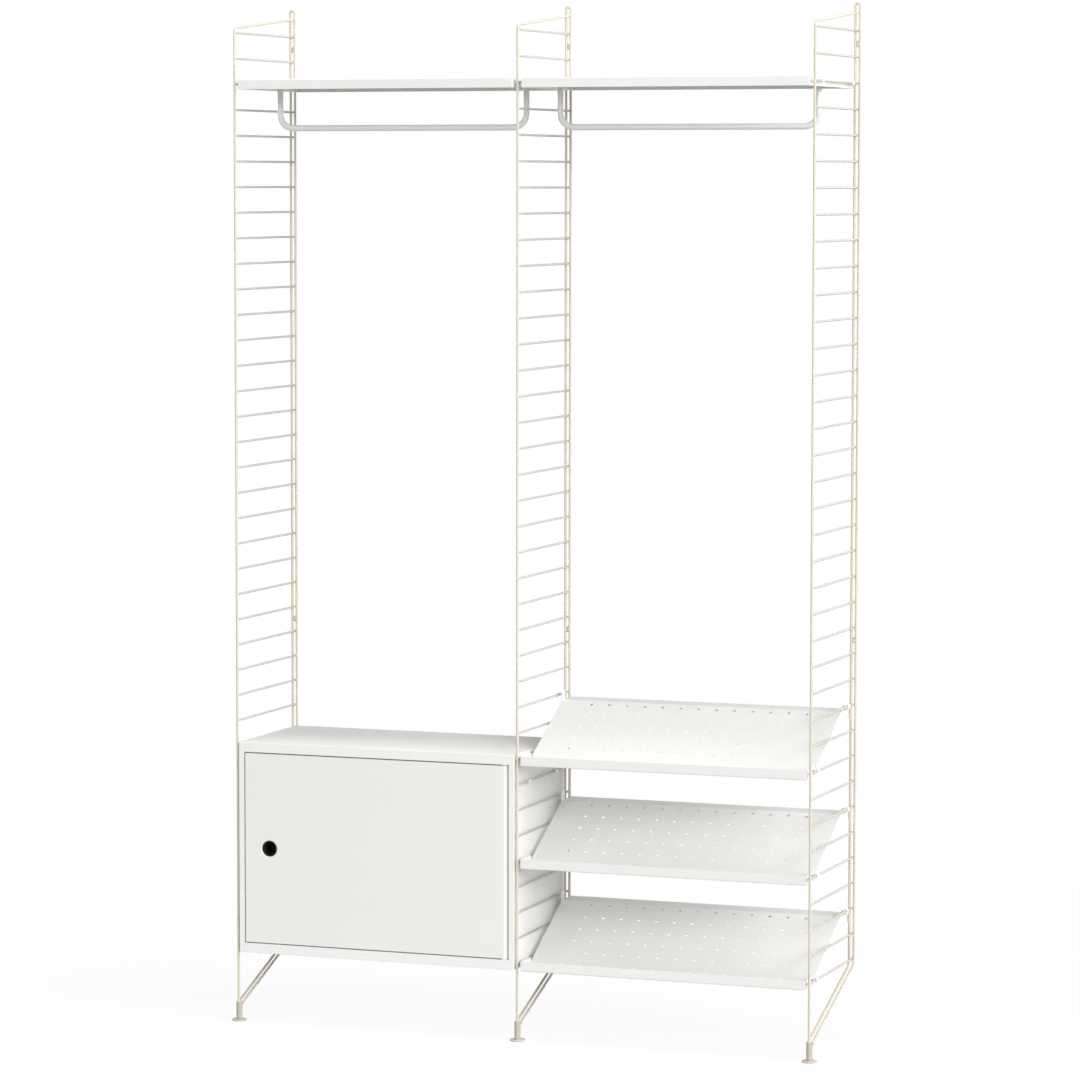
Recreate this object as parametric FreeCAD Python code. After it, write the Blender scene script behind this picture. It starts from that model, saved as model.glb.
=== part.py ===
import FreeCAD, Part
import math
import os

os.makedirs("parts", exist_ok=True)

# Hallway shelving in two bays between three wire ladder panels, which stand on one foot
# each and are screwed to the wall. Each bay has a sheet-metal shelf with a clothes rail
# under it. The left bay has a cabinet with one door, and the right bay three tilted shoe
# shelves. X runs to the right, Y towards the wall and Z up. The origin is on the floor,
# in the middle of the footprint.

V = FreeCAD.Vector

# Whole object
panel_pitch = 590.0          # middle of one panel to the middle of the next
panel_height = 2005.0        # floor to the top of the rear wires
wall_distance = 290.5        # axis of a front wire to the wall
cut_overrun = 1.0            # how far a cut runs past the face it opens

# Ladder panel
wire_d = 5.0
rung_d = 4.2
weld_gap = 0.1               # left between wires that are welded together
rung_pitch = 50.0
first_rung_z = 150.0
rung_end_inset = 0.5         # rung's end ahead of the rear wires' backs
top_bend_drop = 46.0         # front wire's turn towards the wall, below the panel's top
top_bend_r = 10.0
top_wire_rise = 26.0         # how much the top wire climbs on its way to the wall
heel_z = 138.3               # where the rear wires turn forward to the foot
heel_bend_r = 13.8
rear_wires_foot_y = 4.6      # lower ends of the rear wires behind the front wire's axis
rear_wires_foot_drop = 4.0   # the same ends below the top of the sleeve

# Foot of a panel
sleeve_d = 12.0
sleeve_bottom_z = 4.0
sleeve_top_z = 38.0
sleeve_set_back = 2.5        # sleeve's axis behind the front wire's axis
sleeve_edge = 0.6
foot_disc_d = 30.0
foot_disc_t = 3.0
foot_disc_edge = 0.8
stem_d = 6.0
stem_top_z = 28.0
stem_fit = 0.1               # radial clearance of the stem in its sleeve
stem_bore_spare = 3.0        # bore above the stem's top
stem_edge = 0.8

# Wall spacers
wall_spacer_d = 12.0
wall_spacer_t = 3.9
wall_screw_hole_d = 4.2
upper_spacer_drop = 80.0     # upper spacers below the panel's top
lower_spacer_rung_count = 13  # rungs under the lower spacers, which stand between two rungs
wall_spacer_edge = 0.5

# Folded sheet metal of all the shelves
sheet_t = 1.2
fold_r = 0.8                 # inside radius of a fold
lip_h = 19.0
lip_above_rung = 9.0         # top of a lip above the axis of the rung that carries it
shelf_side_gap = 8.5         # panel's middle to the side of a shelf
shelf_front_reach = 5.0      # shelf's front ahead of the front wire's axis
shelf_wall_gap = 1.5

# Hooks of the shelves
hook_w = 11.0
hook_play = 0.3              # between a hook and its rung
hook_leg_h = 6.5             # hook's outer leg below its bridge
hook_front_y = 44.0          # middle of a right-hand front hook behind the front wire
hook_rear_y = 247.0
hook_stagger = 12.0          # left-hand hooks stand this much further forward
hook_plate_margin = 3.0      # plate beside a hook on a shoe shelf

# Clothes rails
rungs_over_top_shelf_count = 2
rail_d = 12.0
rail_wall = 1.0
rail_leg_inset = 26.5        # side of the shelf to the axis of a rail's leg
rail_drop = 93.0             # top of the shelf to the axis of the rail
rail_bend_r = 27.5
rail_y = 142.0               # behind the front wire's axis
rail_plug_h = 16.0
rail_plug_fit = 0.1
rail_screw_d = 4.0
rail_screw_grip = 10.0       # screw's length inside the plug
rail_screw_head_d = 8.0
rail_screw_head_h = 2.4
rail_screw_play = 0.2        # radial clearance of the screw in the shelf
rail_screw_fit = 0.05
hex_recess_flats = 2.5
hex_recess_depth = 1.3

# Shoe shelves
shoe_step_rung_count = 4     # rungs from one shelf down to the next
shoe_rise_rung_count = 2     # rungs from the front hooks up to the rear hooks
shoe_front_lip_up = 6.5      # top of the front lip above the front rung
shoe_trough_down = 12.3      # underside of the level front strip below the front rung
shoe_trough_depth = 42.2
shoe_slope_deg = 27.7
shoe_ledge_down = 9.0        # level rear strip below the rear rung
shoe_cheek_front_y = 52.0    # where the tall front part of an end cheek stops
shoe_cheek_low_front_y = 60.0  # where the cheek's lower edge leaves the level front strip
shoe_hole_d = 6.5
shoe_hole_columns = 13
shoe_hole_rows = 6
shoe_hole_column_pitch = 36.9
shoe_hole_row_pitch = 38.1
shoe_hole_rear_margin = 12.4  # last row of holes to the rear fold, along the slope

# Cabinet
cabinet_side_gap = 5.0       # panel's middle to the side of the cabinet
cabinet_bottom_z = 139.0
cabinet_top_z = 558.0
cabinet_rear_gap = 5.5       # cabinet's back to the front of the rear wires
board_t = 19.0               # top and bottom boards
side_board_t = 10.5
board_edge = 0.8
back_board_t = 3.0
rungs_under_cabinet_hooks_count = 7
inner_shelf_t = 12.0
inner_shelf_h = 150.0        # top of the bottom board to the underside of the inner shelf
inner_shelf_front_gap = 30.0  # back of the door to the inner shelf
inner_shelf_back_gap = 1.0
inner_shelf_side_gap = 0.8
shelf_pin_d = 5.0
shelf_pin_seat = 7.0         # pin's length in the side board
shelf_pin_reach = 8.0        # pin's length under the inner shelf
shelf_pin_inset = 32.0       # pins' distance from the inner shelf's front and back
pin_fit = 0.05               # radial clearance of pins, dowels, screws and bushes
dowel_d = 6.0
dowel_in_board = 12.0
dowel_in_side = 18.0
dowel_depth_shares = (0.12, 0.5, 0.88)

# Cabinet hooks
cabinet_hook_t = 1.5
cabinet_hook_w = 14.0
cabinet_hook_h = 29.0        # plate below the rung's axis
cabinet_hook_front_y = 62.0
cabinet_hook_rear_y = 214.0
cabinet_hook_screw_first = 11.0  # upper screw below the rung's axis
cabinet_hook_screw_pitch = 12.0
cabinet_hook_screw_count = 2
cabinet_screw_d = 3.0
cabinet_screw_head_d = 6.0
cabinet_screw_length = 9.5

# Door
door_t = 18.0
door_gap = 2.4               # all round between the door and the boards
door_edge = 0.8
finger_hole_d = 32.0
finger_hole_liner_t = 1.6
finger_hole_inset = 51.5     # middle of the hole to the door's free edge
finger_hole_edge = 1.2
pivot_pin_d = 5.0
pivot_pin_in_door = 15.0
pivot_pin_in_bush = 10.0
bush_d = 9.0
bush_flange_d = 14.0
bush_depth = 12.0
door_float = 0.3             # between the door and a bush's flange

# Magnetic catch
catch_w = 36.0
catch_h = 13.0
catch_depth = 28.0
catch_inset = 14.0           # side board to the catch
catch_play = 0.4             # catch to the strike plate with the door shut
catch_edge = 1.0
strike_t = 1.0
strike_margin = 3.0          # strike plate inside the catch's width

hexagon_side_count = 6

# Places that follow from the sizes
wire_r = wire_d / 2
rung_r = rung_d / 2
leg_offset = rung_r + weld_gap + wire_r
top_bend_z = panel_height - top_bend_drop
rung_count = int((top_bend_z - first_rung_z) / rung_pitch) + 1
foot_reach = foot_disc_d / 2 - sleeve_set_back
front_y = -(wall_distance - foot_reach) / 2
wall_y = front_y + wall_distance
rear_y = wall_y - wall_spacer_t - weld_gap - wire_r
sleeve_y = front_y + sleeve_set_back
panels = {"left": -panel_pitch, "middle": 0.0, "right": panel_pitch}
bays = {"left": (-panel_pitch, 0.0), "right": (0.0, panel_pitch)}
shelf_front = front_y - shelf_front_reach
shelf_back = wall_y - shelf_wall_gap


def rung_z(index):
    return first_rung_z + index * rung_pitch


def keep(name, shapes):
    """Write one piece, or a group of like pieces, as separate solids."""
    solids = [solid for shape in shapes for solid in shape.Solids]
    shape = solids[0] if len(solids) == 1 else Part.makeCompound(solids)
    shape.exportStep("parts/" + name + ".step")


def slab(xs, ys, zs):
    """A block between two places on each axis."""
    low = V(min(xs), min(ys), min(zs))
    high = V(max(xs), max(ys), max(zs))
    size = high - low
    return Part.makeBox(size.x, size.y, size.z, low)


def rod(radius, start, end):
    """A round bar between two points."""
    return Part.makeCylinder(radius, (end - start).Length, start, end - start)


def eased(solid, radius, wanted):
    """Round the edges for which wanted() is true."""
    edges = [edge for edge in solid.Edges if wanted(edge)]
    return solid.makeFillet(radius, edges)


def rounded_edges(points, radii, closed):
    """Straight runs between points, with a tangent arc at each corner that has a radius."""
    count = len(points)
    corners = []
    for i, (point, radius) in enumerate(zip(points, radii)):
        if radius == 0 or (not closed and i in (0, count - 1)):
            corners.append((point, point, None))
            continue
        back = (points[i - 1] - point).normalize()
        ahead = (points[(i + 1) % count] - point).normalize()
        half = back.getAngle(ahead) / 2
        start = point + back * (radius / math.tan(half))
        end = point + ahead * (radius / math.tan(half))
        centre = point + (back + ahead).normalize() * (radius / math.sin(half))
        middle = centre + (point - centre).normalize() * radius
        corners.append((start, end, Part.Arc(start, middle, end).toShape()))
    edges = []
    for i, (start, end, arc) in enumerate(corners):
        if arc:
            edges.append(arc)
        if closed or i < count - 1:
            following = corners[(i + 1) % count][0]
            edges.append(Part.LineSegment(end, following).toShape())
    return edges


def wire_along(edges, radius):
    """A round wire along a path of edges."""
    start = edges[0].Vertexes[0].Point
    direction = edges[0].Vertexes[-1].Point - start
    circle = Part.Wire([Part.Circle(start, direction, radius).toShape()])
    return Part.Wire(edges).makePipe(Part.Face(circle))


def prism(points, radii, sweep):
    """A flat outline with rounded corners, pushed along a vector."""
    return Part.Face(Part.Wire(rounded_edges(points, radii, True))).extrude(sweep)


def hexagon(x, y, z, flats, height):
    """A hexagonal bar that stands on a point, given its width across flats."""
    step = 2 * math.pi / hexagon_side_count
    corner_r = flats / 2 / math.cos(step / 2)
    corners = [V(x + corner_r * math.cos(k * step), y + corner_r * math.sin(k * step), z)
               for k in range(hexagon_side_count)]
    return prism(corners, [0] * hexagon_side_count, V(0, 0, height))


def folded_sheet(path, thickness, sweep):
    """Sheet metal whose upper face follows the path, folded with one inside radius.

    The sheet lies on the right of the path as seen against the sweep.
    """
    side = sweep * (1 / sweep.Length)
    runs = [(b - a).normalize() for a, b in zip(path, path[1:])]
    normals = [run.cross(side) for run in runs]
    under = [path[0] + normals[0] * thickness]
    upper_radii = [0]
    under_radii = [0]
    for i in range(1, len(path) - 1):
        mitre = normals[i - 1] + normals[i]
        mitre = mitre * (thickness / mitre.dot(normals[i]))
        under.append(path[i] + mitre)
        towards_sheet = runs[i].dot(normals[i - 1]) > 0
        upper_radii.append(fold_r + thickness if towards_sheet else fold_r)
        under_radii.append(fold_r if towards_sheet else fold_r + thickness)
    under.append(path[-1] + normals[-1] * thickness)
    points = path + under[::-1]
    radii = upper_radii + [0, 0] + under_radii[::-1]
    return prism(points, radii, sweep)


def hook(panel_x, side, y, z, inner_x, thickness, width, leg_h):
    """A strip that reaches over a rung and down behind it, to the given side of the panel."""
    bridge_z = z + rung_r + hook_play + thickness
    leg_x = panel_x + side * (rung_r + hook_play + thickness)
    edge_y = y + side * width / 2
    path = [V(inner_x, edge_y, bridge_z), V(leg_x, edge_y, bridge_z),
            V(leg_x, edge_y, bridge_z - thickness - leg_h)]
    return folded_sheet(path, thickness, V(0, -side * width, 0))


# Ladder panels: the front wire, the rear wires and the rungs are welded together
top_wire_y = rear_y - math.sqrt((wire_r + weld_gap) ** 2 - (leg_offset - wire_r) ** 2)
for panel, x in panels.items():
    front_points = [V(x, front_y, sleeve_top_z), V(x, front_y, top_bend_z),
                    V(x, top_wire_y, top_bend_z + top_wire_rise)]
    keep(panel + "_panel_front_wire",
         [wire_along(rounded_edges(front_points, [0, top_bend_r, 0], False), wire_r)])

    # The rear wires are the two legs of one hairpin, coped round the sleeve at the foot
    foot_y = front_y + rear_wires_foot_y
    loop_z = panel_height - wire_r - leg_offset
    legs = []
    for side in (-1, 1):
        leg_x = x + side * leg_offset
        leg_points = [V(leg_x, foot_y, sleeve_top_z - rear_wires_foot_drop),
                      V(leg_x, rear_y, heel_z), V(leg_x, rear_y, loop_z)]
        legs.append(leg_points[::side])
    up_leg = rounded_edges(legs[0][::-1], [0, heel_bend_r, 0], False)
    down_leg = rounded_edges(legs[1][::-1], [0, heel_bend_r, 0], False)
    loop = Part.Arc(V(x - leg_offset, rear_y, loop_z), V(x, rear_y, loop_z + leg_offset),
                    V(x + leg_offset, rear_y, loop_z))
    hairpin = wire_along(up_leg + [loop.toShape()] + down_leg, wire_r)
    sleeve_room = rod(sleeve_d / 2 + weld_gap, V(x, sleeve_y, sleeve_bottom_z),
                      V(x, sleeve_y, sleeve_top_z + weld_gap))
    keep(panel + "_panel_rear_wires", [hairpin.cut(sleeve_room)])

    rung_front = front_y + wire_r + weld_gap
    rung_back = rear_y + wire_r - rung_end_inset
    keep(panel + "_panel_rungs",
         [rod(rung_r, V(x, rung_front, rung_z(i)), V(x, rung_back, rung_z(i)))
          for i in range(rung_count)])

    # Threaded sleeve, welded under the wires, and the foot that screws into it
    sleeve = rod(sleeve_d / 2, V(x, sleeve_y, sleeve_bottom_z), V(x, sleeve_y, sleeve_top_z))
    sleeve = eased(sleeve, sleeve_edge, lambda edge: edge.BoundBox.ZMax < sleeve_top_z
                   and edge.BoundBox.ZLength == 0)
    stem_bore = rod(stem_d / 2 + stem_fit, V(x, sleeve_y, sleeve_bottom_z - cut_overrun),
                    V(x, sleeve_y, stem_top_z + stem_bore_spare))
    keep(panel + "_foot_sleeve", [sleeve.cut(stem_bore)])

    disc = rod(foot_disc_d / 2, V(x, sleeve_y, 0), V(x, sleeve_y, foot_disc_t))
    disc = eased(disc, foot_disc_edge, lambda edge: edge.BoundBox.ZMin > 0)
    stem = rod(stem_d / 2, V(x, sleeve_y, foot_disc_t), V(x, sleeve_y, stem_top_z))
    stem = eased(stem, stem_edge, lambda edge: edge.BoundBox.ZMin > foot_disc_t
                 and edge.BoundBox.ZLength == 0)
    keep(panel + "_levelling_foot", [disc.fuse(stem)])

# Wall spacers: two behind each panel, with the wall screw passing between the rear wires
spacers = []
spacer_zs = (panel_height - upper_spacer_drop, rung_z(lower_spacer_rung_count) - rung_pitch / 2)
for x in panels.values():
    for z in spacer_zs:
        puck = rod(wall_spacer_d / 2, V(x, wall_y - wall_spacer_t, z), V(x, wall_y, z))
        puck = eased(puck, wall_spacer_edge, lambda edge: edge.BoundBox.YMax < wall_y
                     and edge.BoundBox.YLength == 0)
        hole = rod(wall_screw_hole_d / 2, V(x, wall_y - wall_spacer_t - cut_overrun, z),
                   V(x, wall_y + cut_overrun, z))
        spacers.append(puck.cut(hole))
keep("wall_spacers", spacers)


def shelf_sides(bay):
    return bays[bay][0] + shelf_side_gap, bays[bay][1] - shelf_side_gap


def hook_places(bay):
    """The panel, side and two depths of the hooks at each end of a shelf."""
    left, right = bays[bay]
    depths = (front_y + hook_front_y, front_y + hook_rear_y)
    return ((left, -1, tuple(y - hook_stagger for y in depths)), (right, 1, depths))


# Top shelves: folded trays with lips turned down on all four sides
shelf_rung_z = rung_z(rung_count - 1 - rungs_over_top_shelf_count)
shelf_top = shelf_rung_z + lip_above_rung
rail_axis_y = front_y + rail_y
for bay in bays:
    x0, x1 = shelf_sides(bay)
    rail_xs = (x0 + rail_leg_inset, x1 - rail_leg_inset)
    outer = slab((x0, x1), (shelf_front, shelf_back), (shelf_top - lip_h, shelf_top))
    inner = slab((x0 + sheet_t, x1 - sheet_t), (shelf_front + sheet_t, shelf_back - sheet_t),
                 (shelf_top - lip_h - cut_overrun, shelf_top - sheet_t))
    upper = lambda edge: edge.BoundBox.ZMax > shelf_top - lip_h
    shelf = eased(outer, fold_r + sheet_t, upper).cut(eased(inner, fold_r, upper))
    for panel_x, side, depths in hook_places(bay):
        lip_x = panel_x - side * (shelf_side_gap + sheet_t)
        shelf = shelf.multiFuse([hook(panel_x, side, y, shelf_rung_z, lip_x, sheet_t, hook_w,
                                      hook_leg_h) for y in depths])
    for x in rail_xs:
        shelf = shelf.cut(rod(rail_screw_d / 2 + rail_screw_play,
                              V(x, rail_axis_y, shelf_top - sheet_t - cut_overrun),
                              V(x, rail_axis_y, shelf_top + cut_overrun)))
    keep(bay + "_top_shelf", [shelf])

    # Clothes rail: one bent tube, with a plug in each end that a screw holds from above
    tube_top = shelf_top - sheet_t
    rail_z = shelf_top - rail_drop
    rail_points = [V(rail_xs[0], rail_axis_y, tube_top), V(rail_xs[0], rail_axis_y, rail_z),
                   V(rail_xs[1], rail_axis_y, rail_z), V(rail_xs[1], rail_axis_y, tube_top)]
    rail_edges = rounded_edges(rail_points, [0, rail_bend_r, rail_bend_r, 0], False)
    rail = wire_along(rail_edges, rail_d / 2).cut(wire_along(rail_edges, rail_d / 2 - rail_wall))
    keep(bay + "_clothes_rail", [rail])

    plugs = []
    screws = []
    for x in rail_xs:
        plug = rod(rail_d / 2 - rail_wall - rail_plug_fit, V(x, rail_axis_y, tube_top - rail_plug_h),
                   V(x, rail_axis_y, tube_top))
        plug_bore = rod(rail_screw_d / 2 + rail_screw_fit,
                        V(x, rail_axis_y, tube_top - rail_screw_grip - cut_overrun),
                        V(x, rail_axis_y, tube_top + cut_overrun))
        plugs.append(plug.cut(plug_bore))
        head = rod(rail_screw_head_d / 2, V(x, rail_axis_y, shelf_top),
                   V(x, rail_axis_y, shelf_top + rail_screw_head_h))
        head = eased(head, rail_screw_head_h / 2, lambda edge: edge.BoundBox.ZMin > shelf_top)
        recess = hexagon(x, rail_axis_y, shelf_top + rail_screw_head_h - hex_recess_depth,
                         hex_recess_flats, hex_recess_depth + cut_overrun)
        shank = rod(rail_screw_d / 2, V(x, rail_axis_y, tube_top - rail_screw_grip),
                    V(x, rail_axis_y, shelf_top))
        screws.append(head.cut(recess).fuse(shank))
    keep(bay + "_rail_plugs", plugs)
    keep(bay + "_rail_screws", screws)

# Shoe shelves: one folded sheet with a front lip, a level front strip, a perforated slope
# and a level rear strip, and a welded cheek at each end that carries the hooks
slope = math.radians(shoe_slope_deg)
shoe_names = ("top_shoe_shelf", "middle_shoe_shelf", "bottom_shoe_shelf")
x0, x1 = shelf_sides("right")
for place, name in enumerate(reversed(shoe_names)):
    front_z = rung_z(place * shoe_step_rung_count)
    rear_z = rung_z(place * shoe_step_rung_count + shoe_rise_rung_count)
    trough_under_z = front_z - shoe_trough_down
    trough_z = trough_under_z + sheet_t
    ledge_z = rear_z - shoe_ledge_down
    trough_end_y = shelf_front + shoe_trough_depth
    ledge_start_y = trough_end_y + (ledge_z - trough_z) / math.tan(slope)
    lip_top_z = front_z + shoe_front_lip_up
    lip_inside_y = shelf_front + sheet_t
    path = [V(x0, lip_inside_y, lip_top_z), V(x0, lip_inside_y, trough_z),
            V(x0, trough_end_y, trough_z), V(x0, ledge_start_y, ledge_z),
            V(x0, shelf_back, ledge_z), V(x0, shelf_back, ledge_z - lip_h)]
    floor = folded_sheet(path, sheet_t, V(x1 - x0, 0, 0))

    cheek_y = front_y + shoe_cheek_front_y
    cheek_floor_z = trough_z + (cheek_y - trough_end_y) * math.tan(slope)
    low_front_y = front_y + shoe_cheek_low_front_y
    low_back_y = low_front_y + (ledge_z - lip_h - trough_under_z) / math.tan(slope)
    pieces = []
    for panel_x, side, depths in hook_places("right"):
        outside = panel_x - side * shelf_side_gap
        outline = [V(outside, shelf_front, trough_under_z), V(outside, shelf_front, lip_top_z),
                   V(outside, cheek_y, lip_top_z), V(outside, cheek_y, cheek_floor_z),
                   V(outside, ledge_start_y, ledge_z), V(outside, shelf_back, ledge_z),
                   V(outside, shelf_back, ledge_z - lip_h), V(outside, low_back_y, ledge_z - lip_h),
                   V(outside, low_front_y, trough_under_z)]
        outer_fold_r = fold_r + sheet_t
        radii = [outer_fold_r, 0, outer_fold_r, 0, outer_fold_r, outer_fold_r, 0, 0, 0]
        pieces.append(prism(outline, radii, V(-side * sheet_t, 0, 0)))
        reach = hook_w / 2 + hook_plate_margin
        pieces.append(slab((outside, outside - side * sheet_t), (depths[1] - reach, depths[1] + reach),
                           (ledge_z - lip_h, rear_z + lip_above_rung)))
        for y, z in zip(depths, (front_z, rear_z)):
            pieces.append(hook(panel_x, side, y, z, outside - side * sheet_t, sheet_t, hook_w,
                               hook_leg_h))
    shelf = floor.multiFuse(pieces)

    up_slope = V(0, math.cos(slope), math.sin(slope))
    square_to_slope = V(0, -math.sin(slope), math.cos(slope))
    rear_fold = V((x0 + x1) / 2, ledge_start_y, ledge_z)
    drills = []
    for row in range(shoe_hole_rows):
        along = shoe_hole_rear_margin + row * shoe_hole_row_pitch
        for column in range(shoe_hole_columns):
            across = (column - (shoe_hole_columns - 1) / 2) * shoe_hole_column_pitch
            centre = rear_fold - up_slope * along + V(across, 0, 0)
            drills.append(rod(shoe_hole_d / 2, centre - square_to_slope * (sheet_t + cut_overrun),
                              centre + square_to_slope * cut_overrun))
    keep(name, [shelf.cut(Part.makeCompound(drills))])

# Cabinet boards: top and bottom over the sides, with dowels at the corners
cabinet_x0 = bays["left"][0] + cabinet_side_gap
cabinet_x1 = bays["left"][1] - cabinet_side_gap
cabinet_back = rear_y - wire_r - cabinet_rear_gap
inside_x0 = cabinet_x0 + side_board_t
inside_x1 = cabinet_x1 - side_board_t
inside_z0 = cabinet_bottom_z + board_t
inside_z1 = cabinet_top_z - board_t
pivot_x = inside_x1 - door_gap - door_t / 2
pivot_y = shelf_front + door_t / 2
depth = (shelf_front, cabinet_back)

dowels = []
dowel_holes = []
for side_x in (cabinet_x0 + side_board_t / 2, cabinet_x1 - side_board_t / 2):
    for share in dowel_depth_shares:
        y = shelf_front + share * (cabinet_back - shelf_front)
        for joint_z, into_board in ((inside_z0, -1), (inside_z1, 1)):
            start = V(side_x, y, joint_z - into_board * dowel_in_side)
            end = V(side_x, y, joint_z + into_board * dowel_in_board)
            dowels.append(rod(dowel_d / 2, start, end))
            dowel_holes.append(rod(dowel_d / 2 + pin_fit, start, end))
keep("cabinet_dowels", dowels)
dowel_room = Part.makeCompound(dowel_holes)

bush_holes = [rod(bush_d / 2 + pin_fit, V(pivot_x, pivot_y, z - into_board * cut_overrun),
                  V(pivot_x, pivot_y, z + into_board * bush_depth))
              for z, into_board in ((inside_z0, -1), (inside_z1, 1))]
top_board = slab((cabinet_x0, cabinet_x1), depth, (inside_z1, cabinet_top_z))
top_board = eased(top_board, board_edge, lambda edge: edge.BoundBox.ZMax > inside_z1)
keep("cabinet_top", [top_board.cut(dowel_room).cut(bush_holes[1])])
bottom_board = slab((cabinet_x0, cabinet_x1), depth, (cabinet_bottom_z, inside_z0))
bottom_board = eased(bottom_board, board_edge, lambda edge: edge.BoundBox.ZMin < inside_z0)
keep("cabinet_bottom", [bottom_board.cut(dowel_room).cut(bush_holes[0])])

# Cabinet hooks: steel brackets screwed to the outside of the side boards
hook_rung_z = rung_z(rungs_under_cabinet_hooks_count)
brackets = []
bracket_screws = []
screw_holes = []
for panel_x, side, board_x in ((bays["left"][0], -1, cabinet_x0), (bays["left"][1], 1, cabinet_x1)):
    outside = board_x + side * cabinet_hook_t
    for y in (front_y + cabinet_hook_front_y, front_y + cabinet_hook_rear_y):
        edge_y = y + side * cabinet_hook_w / 2
        bridge_z = hook_rung_z + rung_r + hook_play + cabinet_hook_t
        leg_x = panel_x + side * (rung_r + hook_play + cabinet_hook_t)
        path = [V(board_x, edge_y, hook_rung_z - cabinet_hook_h), V(board_x, edge_y, bridge_z),
                V(leg_x, edge_y, bridge_z),
                V(leg_x, edge_y, bridge_z - cabinet_hook_t - hook_leg_h)]
        bracket = folded_sheet(path, cabinet_hook_t, V(0, -side * cabinet_hook_w, 0))
        for row in range(cabinet_hook_screw_count):
            z = hook_rung_z - cabinet_hook_screw_first - row * cabinet_hook_screw_pitch
            outward = V(side, 0, 0)
            tip = V(outside, y, z) - outward * cabinet_screw_length
            shank = rod(cabinet_screw_d / 2, tip, V(outside, y, z))
            head = Part.makeCone(cabinet_screw_d / 2, cabinet_screw_head_d / 2, cabinet_hook_t,
                                 V(board_x, y, z), outward)
            room = Part.makeCone(cabinet_screw_d / 2 + pin_fit, cabinet_screw_head_d / 2 + pin_fit,
                                 cabinet_hook_t, V(board_x, y, z), outward)
            bracket = bracket.cut(room)
            bracket_screws.append(shank.fuse(head))
            screw_holes.append(rod(cabinet_screw_d / 2 + pin_fit, tip, V(outside, y, z)))
        brackets.append(bracket)
keep("cabinet_hooks", brackets)
keep("cabinet_hook_screws", bracket_screws)

# Inner shelf on four pins
door_back = shelf_front + door_t
inner_front = door_back + inner_shelf_front_gap
back_front = cabinet_back - back_board_t
inner_back = back_front - inner_shelf_back_gap
inner_z = inside_z0 + inner_shelf_h
inner_shelf = slab((inside_x0 + inner_shelf_side_gap, inside_x1 - inner_shelf_side_gap),
                   (inner_front, inner_back), (inner_z, inner_z + inner_shelf_t))
keep("cabinet_inner_shelf", [inner_shelf])
pins = []
pin_holes = []
for inside_x, inward in ((inside_x0, 1), (inside_x1, -1)):
    for y in (inner_front + shelf_pin_inset, inner_back - shelf_pin_inset):
        pin_z = inner_z - weld_gap - shelf_pin_d / 2
        seat = V(inside_x - inward * shelf_pin_seat, y, pin_z)
        pins.append(rod(shelf_pin_d / 2, seat, V(inside_x + inward * shelf_pin_reach, y, pin_z)))
        pin_holes.append(rod(shelf_pin_d / 2 + pin_fit, seat, V(inside_x + inward * cut_overrun, y, pin_z)))
keep("inner_shelf_pins", pins)

side_room = Part.makeCompound(dowel_holes + screw_holes + pin_holes)
for name, xs in (("cabinet_left_side", (cabinet_x0, inside_x0)),
                 ("cabinet_right_side", (inside_x1, cabinet_x1))):
    keep(name, [slab(xs, depth, (inside_z0, inside_z1)).cut(side_room)])
keep("cabinet_back", [slab((inside_x0, inside_x1), (back_front, cabinet_back), (inside_z0, inside_z1))])

# Door: a board whose hinge edge is round about the pivots
door_z0 = inside_z0 + door_gap
door_z1 = inside_z1 - door_gap
door_x0 = inside_x0 + door_gap
hinge_edge = rod(door_t / 2, V(pivot_x, pivot_y, door_z0), V(pivot_x, pivot_y, door_z1))
door = slab((door_x0, pivot_x), (shelf_front, door_back), (door_z0, door_z1)).fuse(hinge_edge)
door = door.removeSplitter()
door = eased(door, door_edge, lambda edge: edge.BoundBox.XMax < pivot_x
             and edge.BoundBox.XLength == 0)
hole_x = door_x0 + finger_hole_inset
hole_z = (door_z0 + door_z1) / 2
door = door.cut(rod(finger_hole_d / 2, V(hole_x, shelf_front - cut_overrun, hole_z),
                    V(hole_x, door_back + cut_overrun, hole_z)))
for face_y, outward in ((shelf_front, -1), (door_back, 1)):
    rim = Part.makeCone(finger_hole_d / 2, finger_hole_d / 2 + finger_hole_edge + cut_overrun,
                        finger_hole_edge + cut_overrun,
                        V(hole_x, face_y - outward * finger_hole_edge, hole_z), V(0, outward, 0))
    door = door.cut(rim)
liner = rod(finger_hole_d / 2 - pin_fit, V(hole_x, shelf_front + finger_hole_edge, hole_z),
            V(hole_x, door_back - finger_hole_edge, hole_z))
liner_bore = rod(finger_hole_d / 2 - finger_hole_liner_t, V(hole_x, shelf_front, hole_z),
                 V(hole_x, door_back, hole_z))
keep("finger_hole_liner", [liner.cut(liner_bore)])

# Pivots: a steel pin in the door turns in a flanged bush in each board
pivot_pins = []
bushes = []
for board_z, door_z, into_board in ((inside_z0, door_z0, -1), (inside_z1, door_z1, 1)):
    in_door = V(pivot_x, pivot_y, door_z - into_board * pivot_pin_in_door)
    in_bush = V(pivot_x, pivot_y, board_z + into_board * pivot_pin_in_bush)
    pivot_pins.append(rod(pivot_pin_d / 2, in_door, in_bush))
    door = door.cut(rod(pivot_pin_d / 2 + pin_fit, in_door, in_bush))
    flange_face = V(pivot_x, pivot_y, door_z + into_board * door_float)
    seat = V(pivot_x, pivot_y, board_z)
    bush = rod(bush_flange_d / 2, flange_face, seat)
    bush = bush.fuse(rod(bush_d / 2, seat, V(pivot_x, pivot_y, board_z + into_board * bush_depth)))
    bore = rod(pivot_pin_d / 2 + pin_fit, V(pivot_x, pivot_y, door_z), in_bush)
    bushes.append(bush.cut(bore))
keep("door", [door])
keep("door_pivot_pins", pivot_pins)
keep("pivot_bushes", bushes)

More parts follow.
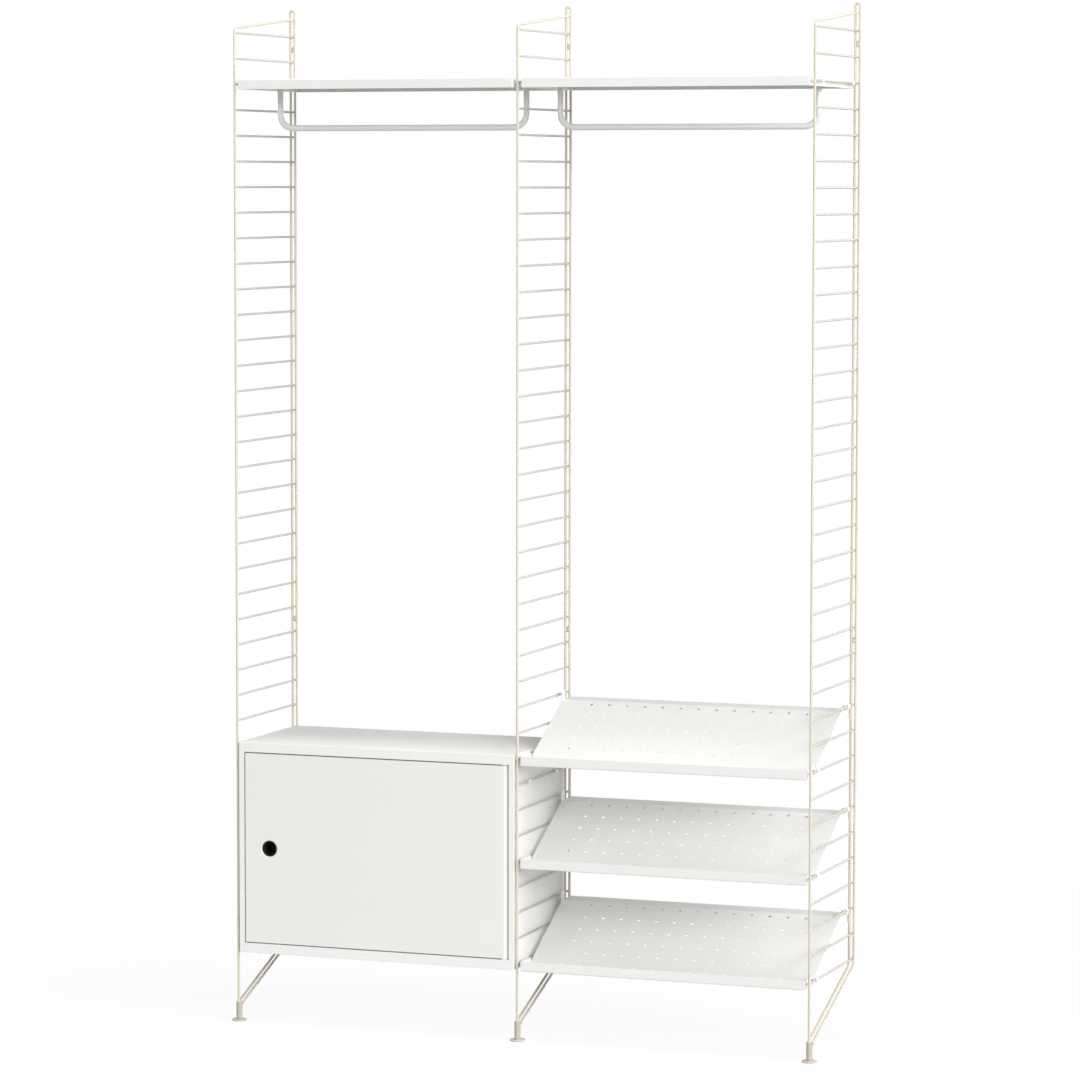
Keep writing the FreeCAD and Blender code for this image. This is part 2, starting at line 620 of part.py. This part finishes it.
# Magnetic catch under the top board, and its strike plate on the back of the door
catch_x0 = inside_x0 + catch_inset
catch_front = door_back + strike_t + catch_play
catch = slab((catch_x0, catch_x0 + catch_w), (catch_front, catch_front + catch_depth),
             (inside_z1 - catch_h, inside_z1))
catch = eased(catch, catch_edge, lambda edge: edge.BoundBox.ZMax < inside_z1)
keep("door_catch", [catch])
strike = slab((catch_x0 + strike_margin, catch_x0 + catch_w - strike_margin),
              (door_back, door_back + strike_t), (inside_z1 - catch_h, door_z1 - strike_margin))
keep("door_strike_plate", [strike])
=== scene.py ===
import math

import bmesh
import bpy
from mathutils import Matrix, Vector


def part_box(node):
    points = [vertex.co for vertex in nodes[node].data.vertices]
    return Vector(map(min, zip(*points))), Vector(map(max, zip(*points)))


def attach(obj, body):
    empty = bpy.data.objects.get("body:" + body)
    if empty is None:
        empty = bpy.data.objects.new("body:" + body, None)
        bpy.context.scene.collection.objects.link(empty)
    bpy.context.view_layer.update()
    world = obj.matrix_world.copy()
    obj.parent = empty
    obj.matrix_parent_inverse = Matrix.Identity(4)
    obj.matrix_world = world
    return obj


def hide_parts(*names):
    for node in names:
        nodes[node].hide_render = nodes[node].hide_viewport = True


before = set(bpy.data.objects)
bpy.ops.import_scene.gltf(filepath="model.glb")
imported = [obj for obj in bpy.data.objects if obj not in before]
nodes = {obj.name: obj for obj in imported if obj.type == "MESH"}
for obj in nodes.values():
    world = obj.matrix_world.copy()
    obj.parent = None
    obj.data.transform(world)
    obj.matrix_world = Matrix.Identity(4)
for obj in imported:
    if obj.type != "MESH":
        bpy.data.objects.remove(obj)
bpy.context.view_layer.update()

# Camera: it stands to the right of the shelving, a little above its middle, and looks
# slightly down through a long lens, as the photographer's did.
camera_place = Vector((2.9258, -7.9370, 1.6565))
camera_turn = math.radians(20.272)
camera_tilt = math.radians(-4.679)
camera_roll = math.radians(-0.06)
lens_length = 144.97
film_width = 36.0
sight_end = 60.0
bpy.ops.object.camera_add(location=camera_place)
camera = bpy.context.object
camera.rotation_euler = (math.pi / 2 + camera_tilt, camera_roll, camera_turn)
camera.data.sensor_width = film_width
camera.data.lens = lens_length
camera.data.clip_end = sight_end
bpy.context.scene.camera = camera
bpy.context.scene.view_settings.view_transform = "Standard"

# Floor and surround: a plain pale floor without an edge in view, which fades into the white
# round it and keeps only the soft shadow under the shelving.


class Signal:
    """A value, vector or colour in a material's nodes. Operators on values add Math nodes."""

    def __init__(self, tree, socket):
        self.tree = tree
        self.socket = socket

    def node(self, kind, settings, inputs, output=0):
        """Any node: its settings first, then its inputs, each a plain value or a signal."""
        made = self.tree.nodes.new(kind)
        for name, value in settings.items():
            setattr(made, name, value)
        for name, value in inputs.items():
            if isinstance(value, Signal):
                self.tree.links.new(value.socket, made.inputs[name])
            else:
                made.inputs[name].default_value = value
        return Signal(self.tree, made.outputs[output])

    def maths(self, operation, first, second):
        return self.node("ShaderNodeMath", {"operation": operation}, {0: first, 1: second})

    def __add__(self, other):
        return self.maths("ADD", self, other)

    def __mul__(self, other):
        return self.maths("MULTIPLY", self, other)

    __radd__ = __add__
    __rmul__ = __mul__

    def or_higher(self, other):
        return self.maths("MAXIMUM", self, other)

    def noise(self, scale, detail=2.0):
        """Noise over this signal, taken as a place in metres; scale is features per metre."""
        return self.node("ShaderNodeTexNoise", {},
                         {"Vector": self, "Scale": scale, "Detail": detail})

    def scaled(self, scales):
        return self.node("ShaderNodeMapping", {}, {"Vector": self, "Scale": scales})

    def tint(self, low, high):
        """The colour between low and high that this value stands for."""
        return self.node("ShaderNodeMix", {"data_type": "RGBA"},
                         {0: self, 6: (*low, 1.0), 7: (*high, 1.0)}, 2)

    def about(self, middle, spread):
        """A level that follows this pattern, half a spread to each side of a middle level."""
        return self * spread + (middle - spread / 2)

    def feeds(self, shader, name):
        self.tree.links.new(self.socket, shader.inputs[name])

    def bumps(self, shader, strength, depth):
        """Light the surface as if this pattern stood out of it by a depth in metres."""
        bump = self.node("ShaderNodeBump", {},
                         {"Strength": strength, "Distance": depth, "Height": self})
        bump.feeds(shader, "Normal")


def new_finish(name):
    """A material, its shader, and the place on the object, from which patterns start."""
    made = bpy.data.materials.new(name)
    made.use_nodes = True
    shader = made.node_tree.nodes["Principled BSDF"]
    coordinates = made.node_tree.nodes.new("ShaderNodeTexCoord")
    return made, shader, Signal(made.node_tree, coordinates.outputs["Object"])


floor_size = 30.0
floor_pale = (0.90, 0.90, 0.90)
floor_bounce = (0.40, 0.40, 0.40)
floor_roughness = 0.9
shadow_share = 0.08
shadow_full_to = 0.4
shadow_gone_from = 2.2
bpy.ops.mesh.primitive_plane_add(size=floor_size, location=(0, 0, 0))
floor = bpy.context.object
floor.name = "studio_floor"
floor_finish, floor_shader, place = new_finish("pale_floor")
floor_shader.inputs["Roughness"].default_value = floor_roughness
light_path = place.tree.nodes.new("ShaderNodeLightPath")
bounced = Signal(place.tree, light_path.outputs["Is Diffuse Ray"])
bounced.tint(floor_pale, floor_bounce).feeds(floor_shader, "Base Color")
seen = Signal(place.tree, light_path.outputs["Is Camera Ray"])
mirrored = Signal(place.tree, light_path.outputs["Is Glossy Ray"])
through = Signal(place.tree, light_path.outputs["Is Transmission Ray"])
distance = place.node("ShaderNodeVectorMath", {"operation": "LENGTH"}, {0: place}, 1)
far = distance.node("ShaderNodeMapRange", {"interpolation_type": "SMOOTHSTEP"},
                    {"Value": distance, "From Min": shadow_full_to,
                     "From Max": shadow_gone_from, "To Min": 1.0 - shadow_share, "To Max": 1.0})
whiteness = (seen * far).or_higher(mirrored).or_higher(through)
white = place.node("ShaderNodeEmission", {}, {"Strength": 1.0})
blend = place.node("ShaderNodeMixShader", {}, {0: whiteness})
place.tree.links.new(floor_shader.outputs[0], blend.socket.node.inputs[1])
place.tree.links.new(white.socket, blend.socket.node.inputs[2])
place.tree.links.new(blend.socket, place.tree.nodes["Material Output"].inputs["Surface"])
floor.data.materials.append(floor_finish)

world = bpy.data.worlds.new("white_studio")
bpy.context.scene.world = world
world.use_nodes = True
surround = world.node_tree.nodes["Background"]
surround.inputs["Color"].default_value = (1, 1, 1, 1)
ray = world.node_tree.nodes.new("ShaderNodeLightPath")
ray_seen = Signal(world.node_tree, ray.outputs["Is Camera Ray"])
ray_mirrored = Signal(world.node_tree, ray.outputs["Is Glossy Ray"])
ray_through = Signal(world.node_tree, ray.outputs["Is Transmission Ray"])
shown = ray_seen.or_higher(ray_mirrored).or_higher(ray_through)
surround_light = 0.10
(surround_light + shown * (1 - surround_light)).feeds(surround, "Strength")

# Lamps: large soft ones stand far off, the strongest in front on the right and to the right,
# others high up, ahead, on the left and behind. A narrow one hangs over the top shelves,
# and a soft spot lamp beside it reaches the shoe shelves under them.


def softbox(name, aim, azimuth, elevation, distance, width, height, power):
    """A rectangular lamp that faces a point, from an azimuth counted from the front."""
    turn = math.radians(azimuth)
    rise = math.radians(elevation)
    offset = Vector((math.sin(turn) * math.cos(rise), -math.cos(turn) * math.cos(rise),
                     math.sin(rise)))
    bpy.ops.object.light_add(type="AREA", location=Vector(aim) + offset * distance)
    lamp = bpy.context.object
    lamp.name = name
    lamp.data.shape = "RECTANGLE"
    lamp.data.size = width
    lamp.data.size_y = height
    lamp.data.energy = power
    lamp.rotation_euler = offset.to_track_quat("Z", "Y").to_euler()


middle_of_object = (0, 0, 0.9)
top_shelf_corner = (0.6, -0.144, 1.85)
studio_reach = 30.0
softbox("right_front_lamp", middle_of_object, 53, 17, studio_reach, 14.0, 10.0, 4170)
softbox("right_lamp", middle_of_object, 80, 20, studio_reach, 12.0, 10.0, 3540)
softbox("high_right_lamp", middle_of_object, 80, 45, studio_reach, 14.0, 14.0, 2700)
softbox("front_lamp", middle_of_object, 5, 8, studio_reach, 14.0, 8.0, 2300)
softbox("overhead_lamp", top_shelf_corner, 0, 85.8, 7.2, 4.0, 0.9, 200)
softbox("left_lamp", middle_of_object, -35, 30, studio_reach, 14.0, 14.0, 1500)
softbox("right_back_lamp", middle_of_object, 150, 6, 9.5, 6.0, 4.0, 200)
softbox("left_back_lamp", middle_of_object, -130, 3, studio_reach, 14.0, 8.0, 3000)
spot_aim = Vector((0.22, -0.02, 0.60))
spot_direction = Vector((0.11, -0.19, 0.98))
spot_reach = 6.5
spot_power = 150
spot_radius = 0.25
spot_angle = math.radians(9.6)
spot_softness = 0.5
spot_offset = spot_direction * spot_reach
bpy.ops.object.light_add(type="SPOT", location=spot_aim + spot_offset)
spot = bpy.context.object
spot.name = "shoe_shelf_lamp"
spot.rotation_euler = spot_offset.to_track_quat("Z", "Y").to_euler()
spot.data.energy = spot_power
spot.data.shadow_soft_size = spot_radius
spot.data.spot_size = spot_angle
spot.data.spot_blend = spot_softness

# Ladder panels: steel wire, welded and then coated in a satin cream powder paint. Each has
# a front wire, a hairpin of two rear wires, rungs between them and a threaded foot sleeve.
# The rungs carry the same coat painted a little darker as painted shade, and the coat is matt
# and beige on the sleeve.


def dress(finish, *names):
    """Give CAD nodes one material in place of their plain one."""
    for name in names:
        mesh = nodes[name].data
        mesh.materials.clear()
        mesh.materials.append(finish)


def powder_coat(name, pale, dark, roughness):
    """Powder paint: fine orange peel, slow drift of tone and of sheen."""
    made, shader, place = new_finish(name)
    place.noise(scale=7.0, detail=3.0).tint(dark, pale).feeds(shader, "Base Color")
    place.noise(scale=45.0).about(roughness, spread=0.10).feeds(shader, "Roughness")
    place.noise(scale=1100.0, detail=1.0).bumps(shader, strength=0.06, depth=0.0002)
    shader.inputs["Specular IOR Level"].default_value = 0.45
    return made


panel_names = ("left", "middle", "right")
wire_cream = powder_coat("cream_wire_coat", (0.645, 0.597, 0.485), (0.61, 0.563, 0.455), 0.45)
# Painted shade: the rungs' cream is a darker copy of the wires' cream, standing in for the
# shade that falls on them.
rung_cream_painted_shade = powder_coat("cream_rung_painted_shade_coat", (0.515, 0.485, 0.42), (0.49, 0.46, 0.397), 0.45)
sleeve_coat = powder_coat("beige_sleeve_coat", (0.50, 0.46, 0.37), (0.47, 0.43, 0.34), 0.6)
for panel in panel_names:
    dress(wire_cream, panel + "_panel_front_wire", panel + "_panel_rear_wires")
    dress(rung_cream_painted_shade, panel + "_panel_rungs")
    dress(sleeve_coat, panel + "_foot_sleeve")

# Welds of the rungs: a small fillet where a rung meets the back of the front wire, and a
# squeezed spot on each side where it passes between the two rear wires. They are coated
# with the wires.


def drawn_out(start, direction, rings, sides):
    """A round piece drawn out along a line, ring by ring: each is a distance and a radius."""
    line = Vector(direction).normalized()
    first, radius = rings[0]
    bpy.ops.object.select_all(action="DESELECT")
    bpy.ops.mesh.primitive_circle_add(vertices=sides, radius=radius, fill_type="NGON",
                                      location=Vector(start) + line * first,
                                      rotation=line.to_track_quat("Z", "Y").to_euler())
    piece = bpy.context.object
    bpy.ops.object.mode_set(mode="EDIT")
    for (along, radius), (next_along, next_radius) in zip(rings, rings[1:]):
        bpy.ops.mesh.extrude_region_move(
            TRANSFORM_OT_translate={"value": line * (next_along - along)})
        bpy.ops.transform.resize(value=(next_radius / radius,) * 3,
                                 center_override=Vector(start) + line * next_along)
    bpy.ops.mesh.select_all(action="SELECT")
    bpy.ops.mesh.normals_make_consistent(inside=False)
    bpy.ops.object.mode_set(mode="OBJECT")
    bpy.ops.object.transform_apply(location=True, rotation=True, scale=True)
    return piece


def stretched(piece, wanted, share, centre):
    """Stretch the corners for whose places wanted() is true, up and down from a centre."""
    bpy.ops.object.mode_set(mode="EDIT")
    bpy.ops.mesh.select_all(action="DESELECT")
    shape = bmesh.from_edit_mesh(piece.data)
    for corner in shape.verts:
        corner.select_set(wanted(corner.co))
    shape.select_flush_mode()
    bmesh.update_edit_mesh(piece.data)
    bpy.ops.transform.resize(value=(1.0, 1.0, share), center_override=centre)
    bpy.ops.object.mode_set(mode="OBJECT")


def joined(pieces, name, finish, smooth_angle):
    """Several meshes made one piece with one finish, smooth but for its sharper edges."""
    bpy.ops.object.select_all(action="DESELECT")
    for piece in pieces:
        piece.select_set(True)
    whole = pieces[0]
    bpy.context.view_layer.objects.active = whole
    bpy.ops.object.join()
    bpy.ops.object.shade_smooth_by_angle(angle=math.radians(smooth_angle))
    whole.name = name
    whole.data.materials.clear()
    whole.data.materials.append(finish)
    return whole


def repeated(piece, count, step):
    """A row of like shapes in one piece, each a step on from the last."""
    bpy.ops.object.select_all(action="DESELECT")
    piece.select_set(True)
    bpy.context.view_layer.objects.active = piece
    row = piece.modifiers.new("row", "ARRAY")
    row.count = count
    row.use_relative_offset = False
    row.use_constant_offset = True
    row.constant_offset_displace = step
    bpy.ops.object.modifier_apply(modifier=row.name)


def for_each_panel(piece, kind):
    """The middle panel's piece and a copy of it, with its own mesh, at each other panel."""
    made = {"middle": piece}
    piece.name = "middle_" + kind
    for panel in ("left", "right"):
        bpy.ops.object.select_all(action="DESELECT")
        piece.select_set(True)
        bpy.context.view_layer.objects.active = piece
        bpy.ops.object.duplicate(linked=False)
        copy = bpy.context.object
        copy.name = panel + "_" + kind
        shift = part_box(panel + "_foot_sleeve")[0][0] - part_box("middle_foot_sleeve")[0][0]
        bpy.ops.transform.translate(value=(shift, 0, 0))
        bpy.ops.object.transform_apply(location=True, rotation=True, scale=True)
        made[panel] = copy
    return made


rungs_low, rungs_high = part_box("middle_panel_rungs")
rung_radius = (rungs_high[0] - rungs_low[0]) / 2
rung_pitch = 0.050
rung_count = round((rungs_high[2] - rungs_low[2] - 2 * rung_radius) / rung_pitch) + 1
lowest_rung = rungs_low[2] + rung_radius
wire_radius = 0.0025
front_wire_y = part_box("middle_panel_front_wire")[0][1] + wire_radius
rear_wire_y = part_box("middle_panel_rear_wires")[1][1] - wire_radius
weld_film = 0.00003
fillet_rings = ((0.0016, 0.0023), (0.0026, 0.0023), (0.0033, 0.0022),
                (0.0043, rung_radius + weld_film))
fillet_end_stretch = 1.6
fillet_middle_stretch = 1.3
fillet_split = 0.0021
fillet_neck = 0.0030
spot_rings = ((-0.0009, 0.0009), (-0.00045, 0.00155), (0.0, 0.0017), (0.00045, 0.00155),
              (0.0009, 0.0009))
fillet_foot = Vector((0, front_wire_y, lowest_rung))
fillet = drawn_out(fillet_foot, (0, 1, 0), fillet_rings, sides=12)
stretched(fillet, lambda corner: corner.y < front_wire_y + fillet_split,
          fillet_end_stretch, fillet_foot)
stretched(fillet, lambda corner: fillet_split < corner.y - front_wire_y < fillet_neck,
          fillet_middle_stretch, fillet_foot)
spots = [drawn_out((side * (rung_radius + weld_film), rear_wire_y, lowest_rung), (1, 0, 0),
                   spot_rings, sides=10)
         for side in (-1, 1)]
welds = joined([fillet, *spots], "rung_welds", wire_cream, smooth_angle=60)
repeated(welds, rung_count, (0, 0, rung_pitch))
for panel, piece in for_each_panel(welds, "rung_welds").items():
    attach(piece, "panels")

# Welds of the sleeve: a bead round the front wire's foot on top of the sleeve, and one round
# each rear wire where its end meets the back of the sleeve. They are coated with the wires.
sleeve_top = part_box("middle_foot_sleeve")[1][2]
rear_wire_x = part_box("middle_panel_rear_wires")[1][0] - wire_radius
rear_wire_set_back = 0.0046
rear_wire_set_down = 0.0040
rear_wire_direction = (0, 0.2794, 0.1043)
front_bead_rings = ((-0.0004, 0.0036), (0.0001, 0.0036), (0.0007, 0.0031), (0.0013, 0.0027),
                    (0.0019, wire_radius + weld_film))
rear_bead_rings = ((0.0008, 0.0031), (0.0016, 0.0034), (0.0024, 0.0033), (0.0034, 0.0029),
                   (0.0042, wire_radius + weld_film))
front_bead = drawn_out((0, front_wire_y, sleeve_top), (0, 0, 1), front_bead_rings, sides=20)
rear_beads = [drawn_out((side * rear_wire_x, front_wire_y + rear_wire_set_back,
                         sleeve_top - rear_wire_set_down),
                        rear_wire_direction, rear_bead_rings, sides=16)
              for side in (-1, 1)]
sleeve_welds = joined([front_bead, *rear_beads], "sleeve_welds", wire_cream, smooth_angle=60)
for panel, piece in for_each_panel(sleeve_welds, "sleeve_welds").items():
    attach(piece, "panels")

# Levelling feet: each is one grey plastic moulding, a thin round pad hollow underneath, with
# a threaded stem that screws up into the panel's sleeve.


def moulded(name, pale, dark, roughness):
    """Moulded plastic: a fine spark-eroded grain under a slow drift of tone."""
    made, shader, place = new_finish(name)
    place.noise(scale=25.0).tint(dark, pale).feeds(shader, "Base Color")
    grain = place.noise(scale=2600.0, detail=3.0)
    grain.about(roughness, spread=0.12).feeds(shader, "Roughness")
    grain.bumps(shader, strength=0.25, depth=0.0001)
    return made


foot_plastic = moulded("grey_foot_plastic", (0.56, 0.52, 0.475), (0.51, 0.47, 0.43), 0.5)
foot_low, foot_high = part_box("middle_levelling_foot")
pad_radius = (foot_high[0] - foot_low[0]) / 2
pad_thickness = 0.003
rim_width = 0.0038
hollow_depth = 0.0011
hollow_lean = 0.0004
low_rounding = 0.0007
low_rounding_rise = 0.0002
high_rounding = 0.0009
rounding_middle = 0.0003
hub_radius = 0.0046
hub_fillet = 0.0004
hub_fillet_rise = 0.0003
hub_top = 0.0036
thread_crest = 0.0030
thread_root = 0.0026
thread_pitch = 0.001
crest_start_share = 0.45
crest_end_share = 0.60
stem_end_chamfer = 0.0006
thread_count = int((foot_high[2] - hub_top - stem_end_chamfer) / thread_pitch)
foot_rings = [(hollow_depth, pad_radius - rim_width - hollow_lean),
              (0, pad_radius - rim_width),
              (0, pad_radius - low_rounding),
              (low_rounding_rise, pad_radius - rounding_middle),
              (low_rounding, pad_radius),
              (pad_thickness - high_rounding, pad_radius),
              (pad_thickness - rounding_middle, pad_radius - rounding_middle),
              (pad_thickness, pad_radius - high_rounding),
              (pad_thickness, hub_radius + hub_fillet),
              (pad_thickness + hub_fillet_rise, hub_radius),
              (hub_top, hub_radius - hub_fillet),
              (hub_top, thread_root)]
for turn in range(thread_count):
    thread_start = hub_top + turn * thread_pitch
    foot_rings += [(thread_start + thread_pitch * crest_start_share, thread_crest),
                   (thread_start + thread_pitch * crest_end_share, thread_crest),
                   (thread_start + thread_pitch, thread_root)]
foot_rings.append((foot_high[2], thread_root - stem_end_chamfer))
foot_middle = (0, (foot_low[1] + foot_high[1]) / 2, foot_low[2])
foot = drawn_out(foot_middle, (0, 0, 1), foot_rings, sides=48)
foot = joined([foot], "turned_foot", foot_plastic, smooth_angle=38)
for panel, piece in for_each_panel(foot, "turned_foot").items():
    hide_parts(panel + "_levelling_foot")
    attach(piece, panel + "_foot")

# Wall spacers: small moulded rings behind the rear wires, two to a panel. The wall screws
# pass through them between the two wires.
# Painted light: the spacers' plastic is made pale partly to lift the shade they sit in between
# the rear wires.
spacer_lifted_shade_plastic = moulded("pale_spacers_painted_light", (0.86, 0.85, 0.81), (0.83, 0.82, 0.78), 0.5)
dress(spacer_lifted_shade_plastic, "wall_spacers")

# Top shelves and shoe shelves: thin sheet steel, folded and coated in satin white powder
# paint. The shoe shelves are perforated on their slope.
white_coat = powder_coat("white_powder_coat", (0.83, 0.83, 0.81), (0.81, 0.81, 0.79), 0.45)
dress(white_coat, "left_top_shelf", "right_top_shelf",
      "top_shoe_shelf", "middle_shoe_shelf", "bottom_shoe_shelf")

# Clothes rails: thin steel tube, bent twice and coated white. Zinc plated screws from above
# hold them by the plastic plugs in their ends.


def plated(name, pale, dark, roughness):
    """Bright zinc on steel: cloudy spangle, fine scratches and an uneven sheen."""
    made, shader, place = new_finish(name)
    cloud = place.noise(scale=180.0, detail=4.0)
    cloud.tint(dark, pale).feeds(shader, "Base Color")
    scratches = place.scaled((900.0, 900.0, 60.0)).noise(scale=1.0)
    (cloud * 0.15 + scratches * 0.10 + (roughness - 0.12)).feeds(shader, "Roughness")
    scratches.bumps(shader, strength=0.15, depth=0.0001)
    shader.inputs["Metallic"].default_value = 1.0
    return made


rail_coat = powder_coat("white_rail_coat", (0.82, 0.82, 0.80), (0.80, 0.80, 0.78), 0.38)
white_plastic = moulded("white_plastic", (0.84, 0.84, 0.82), (0.82, 0.82, 0.80), 0.45)
for bay in ("left", "right"):
    dress(rail_coat, bay + "_clothes_rail")
    dress(white_plastic, bay + "_rail_plugs")
zinc = plated("zinc_plate", (0.70, 0.71, 0.72), (0.58, 0.59, 0.61), 0.34)
dress(zinc, "left_rail_screws", "right_rail_screws")

# Cabinet: white lacquered boards, the top and bottom lying over the sides, doweled at the
# corners, with a thin back and one inner shelf on steel pins. White painted hooks screwed
# to the sides hang it on the rungs.


def lacquer(name, pale, dark, roughness, gloss, streak_scales):
    """Sprayed lacquer on board: smooth, with the faint pull of the board under it."""
    made, shader, place = new_finish(name)
    drift = place.noise(scale=4.0, detail=3.0)
    streaks = place.scaled(streak_scales).noise(scale=1.0, detail=3.0)
    peel = place.noise(scale=420.0)
    (drift * 0.7 + streaks * 0.3).tint(dark, pale).feeds(shader, "Base Color")
    place.noise(scale=60.0).about(roughness, spread=0.08).feeds(shader, "Roughness")
    (peel + streaks * 0.5).bumps(shader, strength=0.06, depth=0.0003)
    shader.inputs["Specular IOR Level"].default_value = gloss
    return made


board_white = lacquer("white_board_lacquer", (0.87, 0.87, 0.85), (0.85, 0.85, 0.83), 0.6, 0.12,
                      (3.0, 60.0, 60.0))
dress(board_white, "cabinet_top", "cabinet_bottom", "cabinet_left_side", "cabinet_right_side",
      "cabinet_inner_shelf")
back_white = lacquer("back_board_paint", (0.86, 0.86, 0.84), (0.82, 0.82, 0.80), 0.6, 0.2,
                     (90.0, 90.0, 90.0))
dress(back_white, "cabinet_back")
beech, shader, place = new_finish("plain_beech")
rays = place.scaled((500.0, 500.0, 60.0)).noise(scale=1.0, detail=4.0)
rays.tint((0.50, 0.34, 0.19), (0.68, 0.51, 0.33)).feeds(shader, "Base Color")
rays.about(0.6, spread=0.2).feeds(shader, "Roughness")
dress(beech, "cabinet_dowels")
dress(zinc, "inner_shelf_pins")
dress(white_coat, "cabinet_hooks", "cabinet_hook_screws")

# Door: one white lacquered board with a round finger hole. Its right edge is rounded about
# the two pins it turns on, and a magnet under the top board holds it shut.
door_white = lacquer("door_lacquer", (0.83, 0.83, 0.81), (0.81, 0.81, 0.79), 0.5, 0.3,
                     (60.0, 60.0, 3.0))
dress(door_white, "door")
liner_black = moulded("black_liner_plastic", (0.020, 0.020, 0.019), (0.012, 0.012, 0.011), 0.6)
dress(liner_black, "finger_hole_liner")
dress(zinc, "door_pivot_pins", "door_strike_plate")
dress(white_plastic, "pivot_bushes")

# Magnetic catch: a white plastic case under the top board, with a magnet between two thin
# steel strips whose edges stand a little proud of its front.
dress(white_plastic, "door_catch")
catch_low, catch_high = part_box("door_catch")
strip_proud = 0.0002
strip_depth = 0.004
strip_height = 0.0016
strip_margin = 0.004
strip_spacing = 0.0052
strip_rounding = 0.00015
strip_middle = Vector(((catch_low[0] + catch_high[0]) / 2,
                       catch_low[1] - strip_proud + strip_depth / 2,
                       (catch_low[2] + catch_high[2] - strip_spacing) / 2))
bpy.ops.object.select_all(action="DESELECT")
bpy.ops.mesh.primitive_cube_add(size=1.0, location=strip_middle,
                                scale=(catch_high[0] - catch_low[0] - 2 * strip_margin,
                                       strip_depth, strip_height))
strip = bpy.context.object
bpy.ops.object.transform_apply(location=True, rotation=True, scale=True)
bpy.ops.object.mode_set(mode="EDIT")
bpy.ops.mesh.bevel(offset=strip_rounding, segments=2)
bpy.ops.object.mode_set(mode="OBJECT")
strip = joined([strip], "catch_steel_strips", zinc, smooth_angle=38)
repeated(strip, 2, (0, 0, strip_spacing))
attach(strip, "cabinet")
